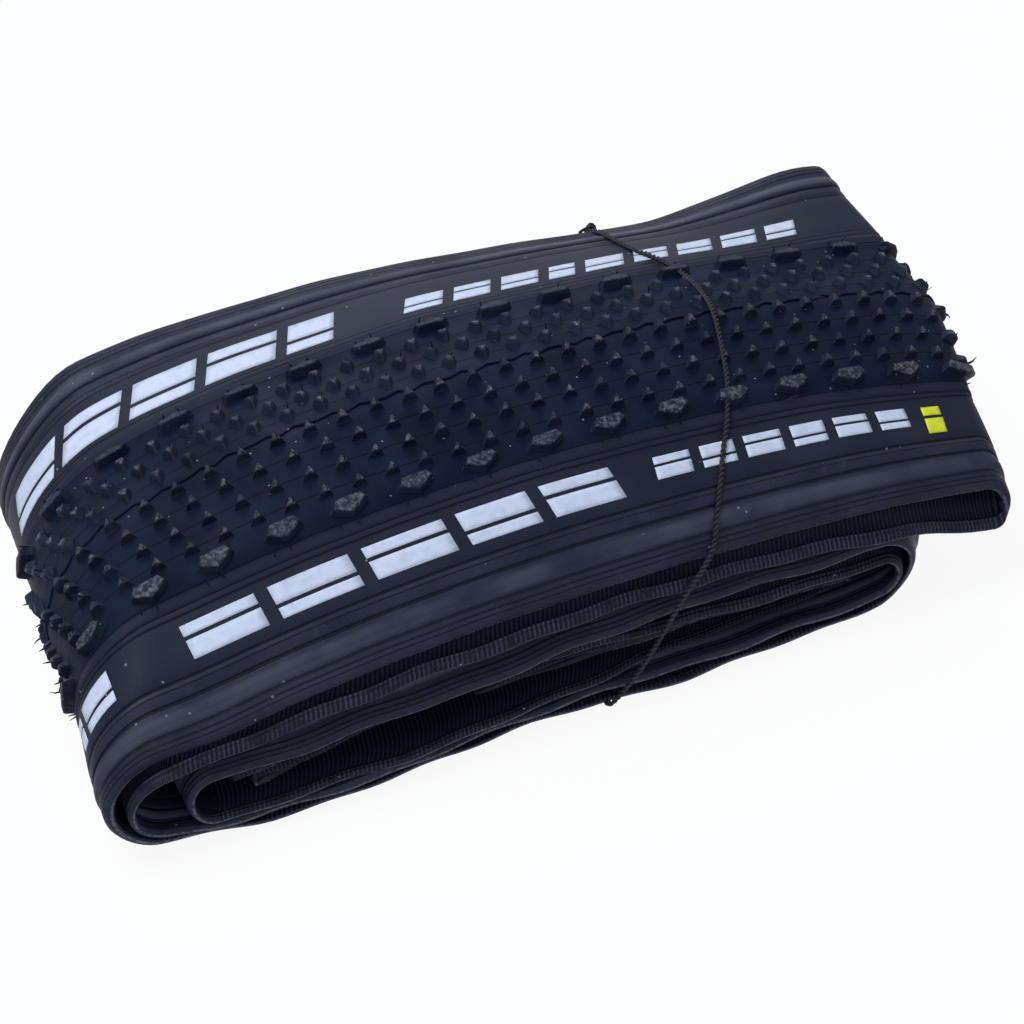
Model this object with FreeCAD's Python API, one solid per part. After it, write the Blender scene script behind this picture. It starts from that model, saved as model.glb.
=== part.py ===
import FreeCAD, Part
import math
import os

V = FreeCAD.Vector

# A folding-bead bicycle tyre, pressed flat from bead to bead, folded into a bundle of ten
# runs and tied with one loop of thin cord. X runs along the bundle, Y across the tyre from
# its near bead to its far bead, Z up. The pieces are drawn with the middle of the tread at
# Y 0, and then move over so that the origin is under the middle of the whole bundle.
#
# The tyre is one closed band. At every station across its width the band follows a fold
# made of straight runs and half circles. "Offset" is the distance from the outer face of
# the casing: positive towards the tread, negative towards the ribbed inside.

# ---------------------------------------------------------------- driving sizes (mm)
BUNDLE_LENGTH = 200.0        # over the left end and the tip of the top fold
TIP_REACH = 16.0             # how far the top fold sticks out past the runs under it
TREAD_HALF = 21.0            # middle of the tyre to the edge of the tread rubber
NEAR_SIDE = 16.0             # tread edge to near bead, seen from above: this side droops
FAR_SIDE = 20.5              # tread edge to far bead, seen from above: this side lies flat
CHAFER_WIDTH = 6.5           # strip round each bead
CORE_WIDTH = 3.0             # flat aramid bead bundle

TREAD_MIDDLE = 3.2           # tread rubber with its knobs, at the middle
TREAD_EDGE = 2.8             # the same at the edge of the tread
SIDEWALL = 0.7               # rubber on the sidewall
CHAFER_OUTER = 0.6           # chafer on the outside of the bead
CHAFER_INNER = 0.5           # chafer on the inside of the bead
PLY = 0.6                    # one rubbered fabric ply
BREAKER = 0.4                # puncture strip between the plies and the tread
BREAKER_HALF = 14.0

PLY_GAP = 0.5                # air between two runs that lie inside to inside
TREAD_GAP = 0.5              # air between two runs that lie tread to tread
NEAR_WALL_GAP = 1.0          # the same at the edge of the chafer, where the runs fan out
FAR_WALL_GAP = 1.9
NEAR_BEAD_GAP = 0.3
FAR_BEAD_GAP = 1.5
BEAD_LIFT = 1.8              # the lowest bead's height over the ground

LEFT_NEAR, LEFT_FAR = 1.5, 14.0      # how far each bead's left end stays inside the tread's
RIGHT_NEAR, RIGHT_FAR = 8.0, 8.0     # the same at the right end of the lower runs
TIP_NEAR, TIP_FAR = 4.0, 2.0         # and at the tip of the top fold
LEFT_SETBACK = 9.0           # the two inner left folds stop this far short of the nest
RIGHT_SETBACK = 12.0         # the two inner right folds, which leave the dark hollow

CORD = 0.9                   # tie cord
CORD_ROOM = 0.3              # cord to the rubber beside it
CORD_WAY = 1.5               # depth of the way it takes between the knobs
CORD_BEND = 1.2              # centreline radius where it goes round a corner
CORD_FAR_EDGE_X = 48.0       # the cord's places along the bundle: at the far tread edge,
CORD_NEAR_EDGE_X = 33.0      # the near tread edge,
CORD_NEAR_BEAD_X = 21.0      # the near bead of the top run,
CORD_LOW_NEAR_X = 4.0        # the near bead of the lowest run
CORD_LOW_FAR_X = 22.0        # and the far bead of the lowest run
KNOT_X = 37.5                # the knot, on the far bead of the top run
KNOT_LENGTH, KNOT_DEPTH, KNOT_HEIGHT = 5.0, 2.6, 2.2
KNOT_ROUND = 0.6

LABEL = 0.15                 # a label is a thin sheet pressed onto the sidewall
LABEL_MARGIN = 1.6           # bare rubber between a label and the edges of the sidewall
LABEL_SLANT = 2.0            # how far a letter block leans
LABEL_SPACE = 1.8            # between two blocks
MARKS = {                    # from, to and how many blocks
    "label_near_main": (True, -73.0, 8.0, 6),
    "label_near_second": (True, 12.0, 66.0, 6),
    "size_mark_near": (True, 71.0, 76.0, 1),
    "label_far_main": (False, -62.0, -22.0, 4),
    "label_far_second": (False, -10.0, 79.0, 9),
}

# ---------------------------------------------------------------- what follows from them
CASING = 2 * PLY
RUNS = 10
TREAD_SEAT = BREAKER         # the tread is that much thinner where the breaker lies under it


class Station:
    """One slice across the tyre's width, with the fold it follows there."""

    def __init__(self, y, outer, lining, gap, tread_gap, lift, left_in, right_in, tip_in):
        inner = CASING + lining
        pair = 2 * (outer + inner) + gap + tread_gap
        twin = 2 * inner + gap
        self.y = y
        self.outer = outer
        self.top = lift + 5 * pair - tread_gap
        self.z = {}
        for k in range(RUNS // 2):
            upper = self.top - outer - k * pair
            self.z[2 * k + 1] = upper
            self.z[2 * k + 2] = upper - twin
        left = -BUNDLE_LENGTH / 2 + left_in
        tip = BUNDLE_LENGTH / 2 - tip_in
        right = BUNDLE_LENGTH / 2 - TIP_REACH - right_in
        self.left = left + (self.z[1] - self.z[10]) / 2 + outer
        self.right = right - (self.z[3] - self.z[10]) / 2 - outer
        self.tip = tip - (self.z[1] - self.z[2]) / 2 - outer
        self.turns = {
            (1, 2): self.tip, (2, 9): self.left, (9, 4): self.right,
            (4, 5): self.left + LEFT_SETBACK, (5, 6): self.right - RIGHT_SETBACK,
            (6, 7): self.left + LEFT_SETBACK, (7, 8): self.right - RIGHT_SETBACK,
            (8, 3): self.left, (3, 10): self.right, (10, 1): self.left}

    def chain(self, offset):
        """The closed fold at one offset, as lines and half circles in order."""
        steps = list(self.turns)
        edges = []
        for number, (run, following) in enumerate(steps):
            before = steps[number - 1]
            odd = run % 2 == 1
            height = self.z[run] + (offset if odd else -offset)
            start, end = self.turns[before], self.turns[(run, following)]
            after = self.z[following] + (-offset if odd else offset)
            edges.append(Part.LineSegment(self.at(start, height), self.at(end, height)).toShape())
            radius = abs(height - after) / 2
            bulge = end + (radius if odd else -radius)
            middle = self.at(bulge, (height + after) / 2)
            edges.append(Part.Arc(self.at(end, height), middle, self.at(end, after)).toShape())
        return edges

    def at(self, x, z):
        return V(x, self.y, z)


NEAR_BEAD = -(TREAD_HALF + NEAR_SIDE)
FAR_BEAD = TREAD_HALF + FAR_SIDE


def side_station(y, outer, lining, gap, near, share):
    """A station on a sidewall. share runs from 0 at the tread's edge to 1 at the bead."""
    left = LEFT_NEAR if near else LEFT_FAR
    right = RIGHT_NEAR if near else RIGHT_FAR
    tip = TIP_NEAR if near else TIP_FAR
    return Station(y, outer, lining, gap, gap, BEAD_LIFT, left * share, right * share, tip * share)


def tread_station(y):
    """A station under the tread, which is thickest at the middle of the tyre."""
    thick = TREAD_MIDDLE + (TREAD_EDGE - TREAD_MIDDLE) * abs(y) / TREAD_HALF
    return Station(y, thick, 0.0, PLY_GAP, TREAD_GAP, 0.0, 0.0, 0.0, 0.0)


def side(near):
    """The four stations from one edge of the tread to the tip of its bead."""
    sign = -1 if near else 1
    bead = NEAR_BEAD if near else FAR_BEAD
    wall_gap = NEAR_WALL_GAP if near else FAR_WALL_GAP
    bead_gap = NEAR_BEAD_GAP if near else FAR_BEAD_GAP
    reach = abs(bead) - TREAD_HALF
    lip = CHAFER_INNER
    places = (CHAFER_WIDTH, CORE_WIDTH + lip, lip, 0.0)
    stations = []
    for inset in places:
        share = 1 - inset / reach
        mix = 1 - inset / CHAFER_WIDTH
        gap = wall_gap + (bead_gap - wall_gap) * mix
        stations.append(side_station(bead - sign * inset, CHAFER_OUTER, CHAFER_INNER, gap, near, share))
    return stations


EDGE = {True: tread_station(-TREAD_HALF), False: tread_station(TREAD_HALF)}
MIDDLE = tread_station(0.0)
BREAKER_SIDE = {True: tread_station(-BREAKER_HALF), False: tread_station(BREAKER_HALF)}
SIDE = {True: side(True), False: side(False)}


# ---------------------------------------------------------------- solids along the fold
def solid_from(faces):
    shell = Part.makeShell(faces)
    shell.sewShape()
    solid = Part.makeSolid(Part.Shell(shell.Faces))
    if solid.Volume < 0:
        solid.reverse()
    return solid


def band(profile):
    """A closed band. profile is a closed outline of (station, offset) across the tyre."""
    chains = [station.chain(offset) for station, offset in profile]
    faces = []
    for number, (station, _) in enumerate(profile):
        following = (number + 1) % len(profile)
        if profile[following][0] is station:
            wires = [Part.Wire(chains[number]), Part.Wire(chains[following])]
            faces.append(Part.makeFace(wires, "Part::FaceMakerBullseye"))
            continue
        for one, other in zip(chains[number], chains[following]):
            faces.append(strip(one, other))
    return solid_from(faces)


def strip(one, other):
    """The face between two edges of neighbouring chains: flat between two lines."""
    if isinstance(one.Curve, Part.Circle):
        return Part.makeRuledSurface(one, other)
    near = [one.valueAt(t) for t in (one.FirstParameter, one.LastParameter)]
    far = [other.valueAt(t) for t in (other.LastParameter, other.FirstParameter)]
    return Part.Face(Part.makePolygon(near + far + near[:1]))


def carcass_ply(outer_face, inner_face):
    """A ply from bead core to bead core, between two offsets."""
    stations = [SIDE[True][1], SIDE[True][0], EDGE[True], BREAKER_SIDE[True], MIDDLE,
                BREAKER_SIDE[False], EDGE[False], SIDE[False][0], SIDE[False][1]]
    there = [(station, outer_face) for station in stations]
    back = [(station, inner_face) for station in reversed(stations)]
    return band(there + back)


def bead_core(near):
    """A flat bundle of aramid in the casing's own thickness, inside the chafer."""
    inner, outer = SIDE[near][1], SIDE[near][2]
    return band([(inner, 0.0), (outer, 0.0), (outer, -CASING), (inner, -CASING)])


def chafer(near):
    """The strip wrapped round a bead: outside, over the tip and back on the inside."""
    edge, middle, core, tip = SIDE[near]
    deep = -CASING - CHAFER_INNER
    return band([(edge, 0.0), (edge, CHAFER_OUTER), (middle, CHAFER_OUTER), (core, CHAFER_OUTER),
                 (tip, CHAFER_OUTER), (tip, deep), (core, deep), (middle, deep), (edge, deep),
                 (edge, -CASING), (middle, -CASING), (core, -CASING), (core, 0.0), (middle, 0.0)])


def sidewall(near):
    """The rubber skin between the tread's edge and the chafer."""
    edge, wall = EDGE[near], SIDE[near][0]
    return band([(edge, 0.0), (edge, SIDEWALL), (wall, CHAFER_OUTER), (wall, 0.0)])


def breaker():
    near, far = BREAKER_SIDE[True], BREAKER_SIDE[False]
    return band([(near, 0.0), (near, BREAKER), (MIDDLE, BREAKER), (far, BREAKER),
                 (far, 0.0), (MIDDLE, 0.0)])


def tread():
    """The tread rubber as one envelope over its knobs, with a way for the cord."""
    near, far = BREAKER_SIDE[True], BREAKER_SIDE[False]
    outside = [EDGE[True], near, MIDDLE, far, EDGE[False]]
    profile = [(station, station.outer) for station in outside]
    profile += [(EDGE[False], 0.0), (far, 0.0), (far, TREAD_SEAT), (MIDDLE, TREAD_SEAT),
                (near, TREAD_SEAT), (near, 0.0), (EDGE[True], 0.0)]
    return band(profile)


# ---------------------------------------------------------------- labels
def label(near, start, end, count):
    """A row of slanted blocks on the top run's sidewall, which is flat there."""
    edge, wall = EDGE[near], SIDE[near][0]
    upper = V(0, edge.y, edge.z[1] + SIDEWALL)
    lower = V(0, wall.y, wall.z[1] + CHAFER_OUTER)
    down = (lower - upper).normalize()
    out = V(0, down.z, -down.y) if near else V(0, -down.z, down.y)
    height = (lower - upper).Length - 2 * LABEL_MARGIN
    width = (end - start + LABEL_SPACE) / count - LABEL_SPACE
    slant = LABEL_SLANT if near else -LABEL_SLANT
    blocks = []
    for number in range(count):
        left = start + number * (width + LABEL_SPACE)
        corners = [V(left + slant, 0, 0), V(left + width + slant, 0, 0), V(left + width, 0, 0),
                   V(left, 0, 0)]
        drops = [LABEL_MARGIN, LABEL_MARGIN, LABEL_MARGIN + height, LABEL_MARGIN + height]
        points = [upper + corner + down * drop for corner, drop in zip(corners, drops)]
        face = Part.Face(Part.makePolygon(points + points[:1]))
        blocks.append(face.extrude(out * LABEL))
    return Part.makeCompound(blocks)


# ---------------------------------------------------------------- tie cord
OFF = CORD / 2 + CORD_ROOM   # the cord's centreline to the rubber it passes


def knot_centre():
    tip = SIDE[False][3]
    return V(KNOT_X, tip.y + OFF, tip.top + CORD_ROOM + KNOT_HEIGHT / 2)


def cord_route():
    """The corners of the cord's route, from the knot over the top and back to it from below."""
    wall_near, tip_near = SIDE[True][0], SIDE[True][3]
    wall_far, tip_far = SIDE[False][0], SIDE[False][3]
    knot = knot_centre()
    sunk = OFF - CORD_WAY
    ridge_x = (CORD_FAR_EDGE_X + CORD_NEAR_EDGE_X) / 2
    slope = (CORD_NEAR_BEAD_X - CORD_NEAR_EDGE_X) / (tip_near.y + TREAD_HALF)
    near_wall_x = CORD_NEAR_EDGE_X + slope * (wall_near.y + TREAD_HALF)
    far_wall_x = KNOT_X + (CORD_FAR_EDGE_X - KNOT_X) * 0.4
    return [
        V(KNOT_X, knot.y - KNOT_DEPTH / 2, knot.z),
        V(KNOT_X, knot.y - KNOT_DEPTH / 2 - 1.5, knot.z + 0.5),
        V(far_wall_x, wall_far.y, wall_far.top + OFF),
        V(CORD_FAR_EDGE_X, TREAD_HALF, EDGE[False].top + sunk),
        V(ridge_x, 0, MIDDLE.top + sunk),
        V(CORD_NEAR_EDGE_X, -TREAD_HALF, EDGE[True].top + sunk),
        V(near_wall_x, wall_near.y, wall_near.top + OFF + CORD_ROOM),
        V(CORD_NEAR_BEAD_X, tip_near.y - OFF, tip_near.top + CORD_ROOM),
        V(CORD_LOW_NEAR_X, tip_near.y - OFF, OFF),
        V(CORD_LOW_FAR_X, tip_far.y + OFF, OFF),
        V(KNOT_X, tip_far.y + OFF, knot.z - KNOT_HEIGHT / 2 - 2.0),
        V(KNOT_X, tip_far.y + OFF, knot.z - KNOT_HEIGHT / 2)]


def rounded(points, radius):
    """Straight runs between the points, joined by tangent arcs."""
    edges = []
    last = points[0]
    for before, corner, after in zip(points, points[1:], points[2:]):
        into = (corner - before).normalize()
        away = (after - corner).normalize()
        turn = into.getAngle(away)
        reach = radius * math.tan(turn / 2)
        start, end = corner - into * reach, corner + away * reach
        inward = (away - into).normalize()
        middle = corner + inward * (radius / math.cos(turn / 2) - radius)
        edges.append(Part.LineSegment(last, start).toShape())
        edges.append(Part.Arc(start, middle, end).toShape())
        last = end
    edges.append(Part.LineSegment(last, points[-1]).toShape())
    return Part.Wire(edges)


def tie_cord():
    route = cord_route()
    path = rounded(route, CORD_BEND)
    ring = Part.Wire(Part.makeCircle(CORD / 2, route[0], route[1] - route[0]))
    cord = path.makePipeShell([ring], True, False)
    expected = path.Length * math.pi * (CORD / 2) ** 2
    print("tie cord length", round(path.Length, 1), "volume over section times length",
          round(cord.Volume / expected, 3))
    return cord


def knot():
    centre = knot_centre()
    corner = centre - V(KNOT_LENGTH, KNOT_DEPTH, KNOT_HEIGHT) / 2
    block = Part.makeBox(KNOT_LENGTH, KNOT_DEPTH, KNOT_HEIGHT, corner)
    return block.makeFillet(KNOT_ROUND, block.Edges)


def cord_ways():
    """What the cord takes out of the tread: a slanted way over the top and one underneath."""
    half = CORD / 2 + CORD_ROOM
    high = MIDDLE.top + 1
    over = [V(CORD_FAR_EDGE_X, TREAD_HALF, EDGE[False].top - CORD_WAY),
            V((CORD_FAR_EDGE_X + CORD_NEAR_EDGE_X) / 2, 0, MIDDLE.top - CORD_WAY),
            V(CORD_NEAR_EDGE_X, -TREAD_HALF, EDGE[True].top - CORD_WAY),
            V(CORD_NEAR_EDGE_X, -TREAD_HALF, high), V(CORD_FAR_EDGE_X, TREAD_HALF, high)]
    tip_near, tip_far = SIDE[True][3], SIDE[False][3]
    lean = (CORD_LOW_FAR_X - CORD_LOW_NEAR_X) / (tip_far.y - tip_near.y + 2 * OFF)
    near_x = CORD_LOW_NEAR_X + lean * (-TREAD_HALF - tip_near.y + OFF)
    far_x = near_x + lean * 2 * TREAD_HALF
    under = [V(near_x, -TREAD_HALF, -1), V(far_x, TREAD_HALF, -1),
             V(far_x, TREAD_HALF, CORD_WAY), V(near_x, -TREAD_HALF, CORD_WAY)]
    ways = []
    for points in (over, under):
        along = (points[0] - points[2])
        across = V(along.y, -along.x, 0).normalize()
        overrun = V(along.x, along.y, 0).normalize()
        stretched = [p + overrun * (1 if p.y > 0 else -1 if p.y < 0 else 0) for p in points]
        face = Part.Face(Part.makePolygon([p - across * half for p in stretched + stretched[:1]]))
        ways.append(face.extrude(across * 2 * half))
    return ways


# ---------------------------------------------------------------- run
os.makedirs("parts", exist_ok=True)
NODES = {
    "tread_cap": tread().cut(cord_ways()),
    "sidewall_near": sidewall(True),
    "sidewall_far": sidewall(False),
    "chafer_near": chafer(True),
    "chafer_far": chafer(False),
    "carcass_ply_outer": carcass_ply(0.0, -PLY),
    "carcass_ply_inner": carcass_ply(-PLY, -CASING),
    "puncture_breaker": breaker(),
    "bead_core_near": bead_core(True),
    "bead_core_far": bead_core(False),
    "tie_cord": tie_cord(),
    "tie_knot": knot(),
}
for name, mark in MARKS.items():
    NODES[name] = label(*mark)
middle = (SIDE[True][3].y - OFF - CORD / 2 + knot_centre().y + KNOT_DEPTH / 2) / 2
for name, shape in NODES.items():
    shape.translate(V(0, -middle, 0))
    shape.exportStep("parts/" + name + ".step")
    box = shape.BoundBox
    corners = [round(v, 1) for v in (box.XMin, box.YMin, box.ZMin, box.XMax, box.YMax, box.ZMax)]
    print(name, len(shape.Solids), "solids", "valid", shape.isValid(),
          "volume", round(shape.Volume / 1000, 2), "cm3", "box", corners)
print("fold length at the middle", round(sum(e.Length for e in MIDDLE.chain(0.0))),
      "at the near bead", round(sum(e.Length for e in SIDE[True][2].chain(0.0))))
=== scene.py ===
# %% [markdown]
# # A folding bicycle tyre, folded into a tied bundle
#
# The tyre is one closed band. It is pressed flat from bead to bead, folded into ten runs
# with the tread outside, and held by one loop of thin cord. Everything is drawn in
# millimetres in the band's own coordinates: how far along the band, how far across it, and
# how far out from the casing. One surface then carries all of it into the bundle.

# %% Load the frame
import bpy
import math
import numpy as np
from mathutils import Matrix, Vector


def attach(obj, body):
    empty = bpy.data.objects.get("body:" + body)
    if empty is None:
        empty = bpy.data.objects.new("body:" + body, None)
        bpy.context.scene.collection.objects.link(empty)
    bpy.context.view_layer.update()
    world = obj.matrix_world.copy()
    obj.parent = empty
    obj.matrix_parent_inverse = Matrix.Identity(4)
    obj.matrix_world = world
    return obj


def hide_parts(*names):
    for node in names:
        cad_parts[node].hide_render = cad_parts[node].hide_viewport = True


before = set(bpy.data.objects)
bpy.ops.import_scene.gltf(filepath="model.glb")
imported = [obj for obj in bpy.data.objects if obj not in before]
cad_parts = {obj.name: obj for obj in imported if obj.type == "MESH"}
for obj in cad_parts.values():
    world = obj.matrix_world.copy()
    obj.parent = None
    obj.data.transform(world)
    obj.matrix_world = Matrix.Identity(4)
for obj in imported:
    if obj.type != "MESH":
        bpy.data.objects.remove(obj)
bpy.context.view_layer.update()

# %% [markdown]
# ## The fold
#
# The band visits the ten runs in the order below, turning at the right after an odd run and
# at the left after an even one. Odd runs lie tread up, even runs tread down.

# %% The order of the runs and the section across the tyre
ORDER = [1, 2, 9, 4, 5, 6, 7, 8, 3, 10]
RUNS = len(ORDER)
EDGE = 46.0                    # middle of the tyre to the outermost point of the bead, in its surface
CASING = 0.9                   # the two plies together, with their rubber
Y_SHIFT = -2.675               # centres the CAD box on the origin
RUN_STEPS, TURN_STEPS = 64, 26
TABLE_SPREAD = 4.0             # how far along the bundle the height tables are rounded


def smooth_table(at, knots, values, spread):
    """The table's straight lines, rounded: the mean of nine readings around each place,
    weighted by a bell curve of that spread."""
    at = np.asarray(at, float)
    offsets = np.linspace(-2.2, 2.2, 9)
    weights = np.exp(-offsets ** 2 / 2)
    total = sum(w * np.interp(at + o * spread, knots, values) for o, w in zip(offsets, weights))
    return total / weights.sum()


def ease(at, start, end):
    """0 before start, 1 after end, and between them three times the square of the share
    less twice its cube."""
    t = np.clip((np.asarray(at, float) - start) / (end - start), 0, 1)
    return t * t * (3 - 2 * t)


# Places across the tyre, measured in its surface, and their Y in the pressed section.
SECTION_V = [-46, -44, -36, -22.5, -18.5, 0, 18.5, 22.5, 36, 44, 46]
SECTION_Y = [-38.0, -36.5, -30.6, -20.9, -17.6, 0, 17.8, 21.6, 33.9, 41.5, 43.4]

# The top run's rubber surface: height by place along the bundle, for lines across it.
TOP_LINES = {
    -44: ([-95, -80, -60, -40, -20, 0, 20, 46, 60, 78, 98],
          [18.5, 21.5, 25.3, 27.4, 28.3, 28.3, 27.7, 26.2, 24.8, 21.5, 15.5]),
    -22.5: ([-95, -80, -69, -50, -30, -8, 10, 28, 48, 62, 76, 90, 98],
            [33, 34.8, 37.2, 40, 41.6, 42.3, 41.4, 39.9, 37.5, 34.6, 31.2, 27, 24]),
    -18.5: ([-95, -77, -65, -54, -42, -29, -3, 9, 22, 34, 46, 57, 67, 77, 90, 98],
            [35, 38.7, 40.9, 42.8, 43.8, 44.2, 44.3, 44.1, 43, 41.9, 40.2, 38.2, 36.2, 33.3, 28.6,
             25.5]),
    0: ([-95, -82, -72, -60, -52, -41, -29, -19, -3, 18, 33, 40, 57, 71, 82, 90, 98],
        [36, 39.4, 41.5, 45, 47.2, 48.5, 49, 49.3, 49.5, 48.5, 47.5, 46.5, 43.7, 41, 37.3, 33.5,
         29.5]),
    18.5: ([-95, -79, -68, -59, -46, -34, -21, -9, 4, 17, 30, 42, 54, 65, 76, 86, 98],
           [32, 36, 39.9, 42.8, 44.6, 45.9, 47, 47.6, 47.3, 46.2, 45.4, 43.7, 42.2, 40.3, 38.7,
            36.5, 33]),
    22.5: ([-95, -82, -75, -64, -44, -24, -9, 14, 39, 60, 71, 80, 90, 98],
           [31, 35.5, 38, 42, 45.5, 46.9, 47.8, 46.5, 44.5, 41.3, 40, 39, 37, 35]),
    44: ([-95, -80, -70, -52, -23, -3, 23, 36, 49, 60, 77, 85, 89, 98],
         [32, 37, 43.5, 46, 46.5, 45.5, 42.5, 40.5, 38.7, 40, 42.5, 42, 40.5, 38]),
}


def top_surface(x, v):
    """Height of the top run's rubber surface over the ground: straight between the tables'
    lines, then the mean of nine readings across the tyre under a bell curve."""
    lines = {place: smooth_table(x, *table, TABLE_SPREAD) for place, table in TOP_LINES.items()}
    lines[-36] = 0.5 * (lines[-44] + lines[-22.5]) + 0.9
    lines[36] = 0.45 * lines[44] + 0.55 * lines[22.5]
    lines[-46], lines[46] = lines[-44] - 2.2, lines[44] - 0.5
    stack = np.stack([np.broadcast_to(lines[k], np.broadcast(x, v).shape) for k in SECTION_V])
    total, weight = 0, 0
    spread_across = 1.6
    for offset in np.linspace(-2, 2, 9):
        bell = math.exp(-offset ** 2 / 2)
        at = np.clip(v + offset * spread_across, SECTION_V[0], SECTION_V[-1]) + 0 * x
        index = np.clip(np.searchsorted(SECTION_V, at) - 1, 0, len(SECTION_V) - 2)
        low, high = np.take(SECTION_V, index), np.take(SECTION_V, index + 1)
        share = (at - low) / (high - low)
        below = np.take_along_axis(stack, index[None], 0)[0]
        above = np.take_along_axis(stack, index[None] + 1, 0)[0]
        total = total + bell * (below + (above - below) * share)
        weight += bell
    return total / weight


def skin(v):
    """Thickness of the rubber outside the casing, without knobs."""
    return np.interp(np.abs(v), [0, 19, 22, 36, 44], [1.3, 1.2, 0.8, 0.6, 0.5])


# Casing levels of a straight stack at the middle of the tyre and at either bead.
TREAD_LEVELS = {1: 45.3, 2: 42.4, 3: 35.5, 4: 32.6, 5: 25.7, 6: 22.8, 7: 15.9, 8: 13.0, 9: 6.1,
                10: 3.2}
NEAR_LEVELS = {1: 26.9, 2: 22.6, 3: 19.8, 4: 15.0, 5: 13.4, 6: 10.1, 7: 8.7, 8: 5.5, 9: 4.2, 10: 1.1}
FAR_LEVELS = {1: 38.5, 2: 34.6, 3: 31.4, 4: 27.4, 5: 24.3, 6: 20.3, 7: 17.2, 8: 13.2, 9: 10.1, 10: 4.0}
# How much further each run's near bead reaches than the top run's, at eight places along
# the bundle. Runs 4 to 8 stay back where the two hollows between the folds are.
REACH_X = [-95, -60, -38, -20, 0, 15, 50, 80]
REACH = {1: [0, 0, 0, 0, 0, 0, 0, 0], 2: [1.2, 1.8, 2.0, 1.8, 1.8, 1.8, 2.0, 2.4],
         3: [1.4, 2.0, 2.0, 1.8, 1.6, 1.6, 1.8, 1.5], 4: [1.4, -2.0, -3.5, -2.5, -0.5, 1.2, 1.8, 1.5],
         5: [0.6, -3.0, -4.5, -4.5, -4.5, -4.5, -4, -2], 6: [0.6, -3.0, -4.5, -4.5, -4.5, -4.5, -4, -2],
         7: [0.6, -2.6, -4.0, -4.0, -4.5, -4.5, -4, -2], 8: [1.6, 2.2, 2.4, 1.2, -0.5, -2.5, -4.0, -2],
         9: [1.2, 2.2, 2.4, 0.8, 1.0, 1.4, 1.8, 1], 10: [0.2, 1.1, 1.4, -0.6, 0.6, 1.6, 1.7, 1]}
# How much lower each run's near bead hangs than in a straight stack.
SAG_X = [-95, -60, -25, 15, 50, 65, 80]
SAG = {1: [0, 0, 0, 0, 0, 0, 0], 2: [0, 0, 0, 0, 0.9, 2.8, 3.6], 3: [0, 3.2, 3.9, 1.6, 1.2, 0.5, 0],
       4: [0, 2.0, 2.2, 1.0, 1.3, 0.5, 0], 5: [0, 2.0, 2.2, 1.2, 1.2, 0.5, 0],
       6: [0, 1.0, 1.0, 1.0, 1.0, 0.5, 0], 7: [0, 0.8, 0.8, 1.0, 1.1, 0.5, 0],
       8: [0, 0, 0, 0, -0.2, -1.4, -2], 9: [0, 0, 0, 0, -0.9, -2.8, -3],
       10: [0, 0, 0, 0, -1.3, -4.0, -5]}
RIPPLE_UP, RIPPLE_OUT = 0.55, 0.8      # shares of the ripple that go up and that go outwards
CALM = 0.22                            # the top run's edges ripple by this share of the others'


def ripple(run, x, side):
    """Small waves of a free edge: three sines of different lengths, different on every run."""
    shift = run * 1.7 + side
    return (0.34 * np.sin(x / 5.3 + shift) + 0.26 * np.sin(x / 3.1 + 2.3 * shift)
            + 0.42 * np.sin(x / 11.0 + 0.7 * shift)) * (1.0 if run > 1 else CALM)


def level(run, x, v):
    """Height of one run's casing, outer face: its place in a straight stack, times the top
    run's real height over its height in that stack, less the near bead's sag. The two top
    runs keep their distance instead towards the right, where they stick out."""
    side = ease(np.abs(v), 20.0, 44.0) * 0.55 + 0.45 * np.clip((np.abs(v) - 19) / 25, 0, 1.1)
    beads = np.where(v < 0, NEAR_LEVELS[run], FAR_LEVELS[run])
    first = np.where(v < 0, NEAR_LEVELS[1], FAR_LEVELS[1])
    straight = TREAD_LEVELS[run] + (beads - TREAD_LEVELS[run]) * side
    top = TREAD_LEVELS[1] + (first - TREAD_LEVELS[1]) * side
    wanted = top_surface(x, v) - skin(v)
    scaled = straight * wanted / top
    if run <= 2:
        shifted = straight + wanted - top
        open_tip = 1.2 * ease(x, 55, 85) * (run == 2) * (1 - ease(-v, 20, 40))
        scaled = scaled + (shifted - scaled) * ease(x, 25, 55) - open_tip
    scaled = scaled - ease(-v, 24, 42) * smooth_table(x, SAG_X, SAG[run], 5.0)
    wave = ease(-v, 34, 45) * ripple(run, x, 0.0) + ease(v, 34, 45) * ripple(run, x, 2.0)
    scaled = scaled + RIPPLE_UP * wave
    left_lift = 4.0 * ease(-x, 66, 96) * (1 - scaled / 45)
    return scaled + left_lift


def across(run, x, v):
    """Y of a point of one run: the section's Y, less the near bead's reach, and the ripple."""
    plain = smooth_table(v, SECTION_V, SECTION_Y, 0.8)
    edges = ease(v, 36, 45) * ripple(run, x, 4.0) - ease(-v, 36, 45) * ripple(run, x, 1.0)
    wave = RIPPLE_OUT * edges
    return plain - ease(-v, 22, 40) * smooth_table(x, REACH_X, REACH[run], 6.0) + wave


# Outermost place of the rubber surface at each turn, for lines across the tyre.
END_V = [-46, -44, -36, -22.5, 0, 22.5, 44, 46]
LEFT_END = [-93.8, -94.2, -94.2, -92.2, -89.2, -86.0, -83.4, -83.0]
TIP_END = [79.8, 80.0, 80.4, 81.8, 87.4, 89.0, 88.5, 88]
RIGHT_END = [59.4, 60.2, 65, 75, 80, 80, 76, 76]
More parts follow.
